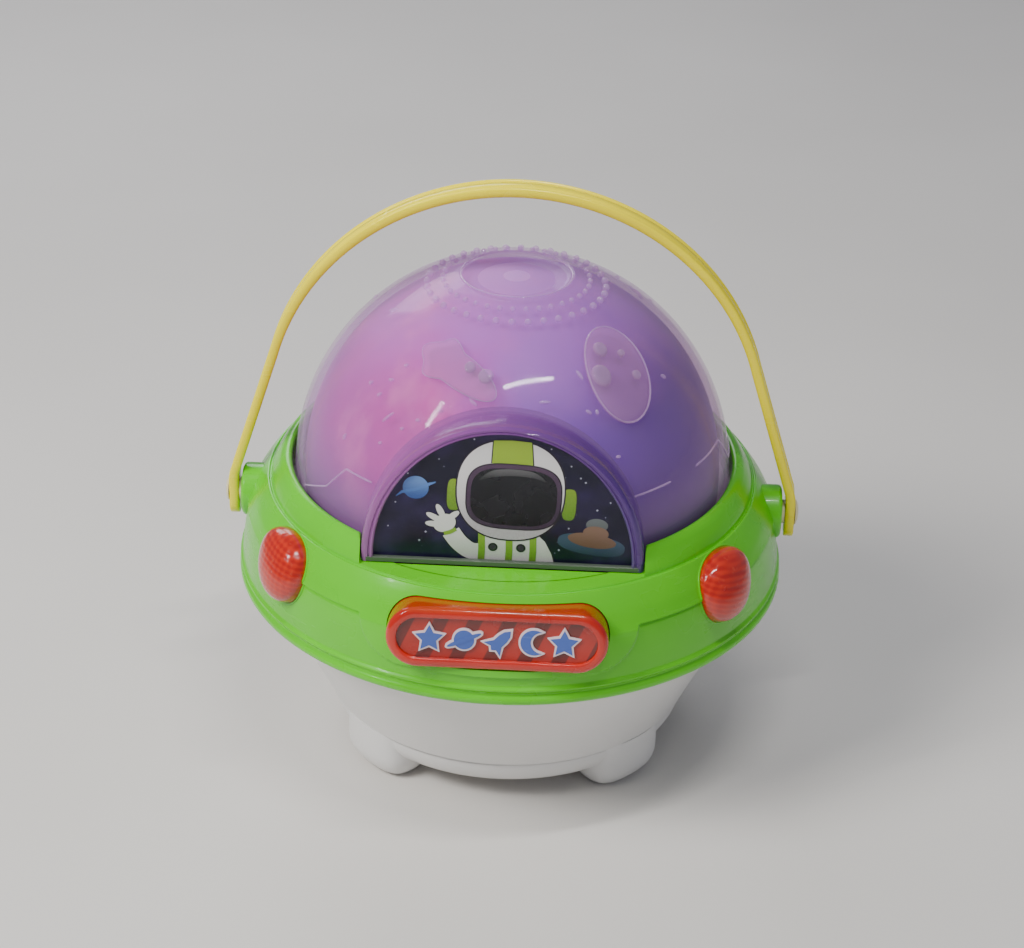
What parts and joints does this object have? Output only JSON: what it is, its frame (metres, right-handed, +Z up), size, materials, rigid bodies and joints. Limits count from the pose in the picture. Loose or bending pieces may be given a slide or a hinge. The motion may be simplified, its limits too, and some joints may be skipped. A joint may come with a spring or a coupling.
{
  "type": "toy flying saucer with carry handle",
  "caption": "Toy flying saucer with a purple lit dome, green ring, picture window, push button, side lamps and a yellow carry handle that swings.",
  "frame": {"origin": "on the ground under the middle of the saucer", "axes": "+Z up, the front with the button faces -Y, +X to the right of someone facing the front"},
  "size_m": [0.2692, 0.2558, 0.2756],
  "materials": {
    "green_plastic": "gloss",
    "white_plastic": "satin",
    "yellow_plastic": "gloss",
    "clear_purple": "gloss",
    "milky_pink": "satin",
    "clear_red": "gloss",
    "dark_red_plastic": "satin",
    "cream_plastic": "satin",
    "clear_lens": "gloss",
    "printed_card": "satin",
    "blue_print": "gloss",
    "circuit_board": "satin",
    "steel": "satin",
    "black_plastic": "satin",
    "cell_sleeve": "satin",
    "rubber": "matte"
  },
  "bodies": {
    "body": {"saucer_ring": "green_plastic", "base_bowl": "white_plastic", "reflector_deck": "white_plastic", "battery_door": "white_plastic", "dome_shell": "clear_purple", "dome_liner": "milky_pink", "side_lamp_lens_left": "clear_red", "side_lamp_lens_right": "clear_red", "pivot_pin_left": "cream_plastic", "pivot_pin_right": "cream_plastic", "pivot_spacer_left": "cream_plastic", "pivot_spacer_right": "cream_plastic", "window_lens": "clear_lens", "dome_led_1": "clear_lens", "dome_led_2": "clear_lens", "dome_led_3": "clear_lens", "button_led_left": "clear_lens", "button_led_right": "clear_lens", "side_lamp_led_left": "clear_lens", "side_lamp_led_right": "clear_lens", "picture_card": "printed_card", "button_board": "circuit_board", "dome_light_board": "circuit_board", "main_board": "circuit_board", "button_spring_left": "steel", "button_spring_right": "steel", "battery_spring_1": "steel", "battery_spring_2": "steel", "battery_spring_3": "steel", "battery_contact_front": "steel", "battery_contact_back": "steel", "battery_door_screw": "steel", "body_screw_1": "steel", "body_screw_2": "steel", "body_screw_3": "steel", "body_screw_4": "steel", "dome_screw_1": "steel", "dome_screw_2": "steel", "dome_screw_3": "steel", "pivot_clip_left": "steel", "pivot_clip_right": "steel", "side_lamp_reflector_left": "steel", "side_lamp_reflector_right": "steel", "speaker_frame": "steel", "battery_box": "black_plastic", "sound_chip": "black_plastic", "speaker_cone": "black_plastic", "speaker_clamp": "black_plastic", "power_switch_body": "black_plastic", "battery_1": "cell_sleeve", "battery_2": "cell_sleeve", "battery_3": "cell_sleeve"},
    "handle": {"handle": "yellow_plastic"},
    "front_button": {"front_button": "clear_red", "button_stripe_plate": "dark_red_plastic", "button_emblem": "blue_print", "button_contact_pad": "rubber"},
    "power_switch_knob": {"power_switch_knob": "black_plastic"}
  },
  "joints": [
    {"name": "handle_swing", "type": "hinge", "parent": "body", "child": "handle", "pos_m": [0, 0, 0.116], "axis": [1, 0, 0], "range_deg": [-78, 78]},
    {"name": "button_press", "type": "slide", "parent": "body", "child": "front_button", "axis": [0, 0.9895, -0.1444], "range_m": [0, 0.0025], "stiffness_N_per_m": 400, "springref_m": -0.002, "deforming": ["button_spring_left", "button_spring_right"]},
    {"name": "power_slide", "type": "slide", "parent": "body", "child": "power_switch_knob", "axis": [0, 1, 0], "range_m": [0, 0.005]}
  ]
}
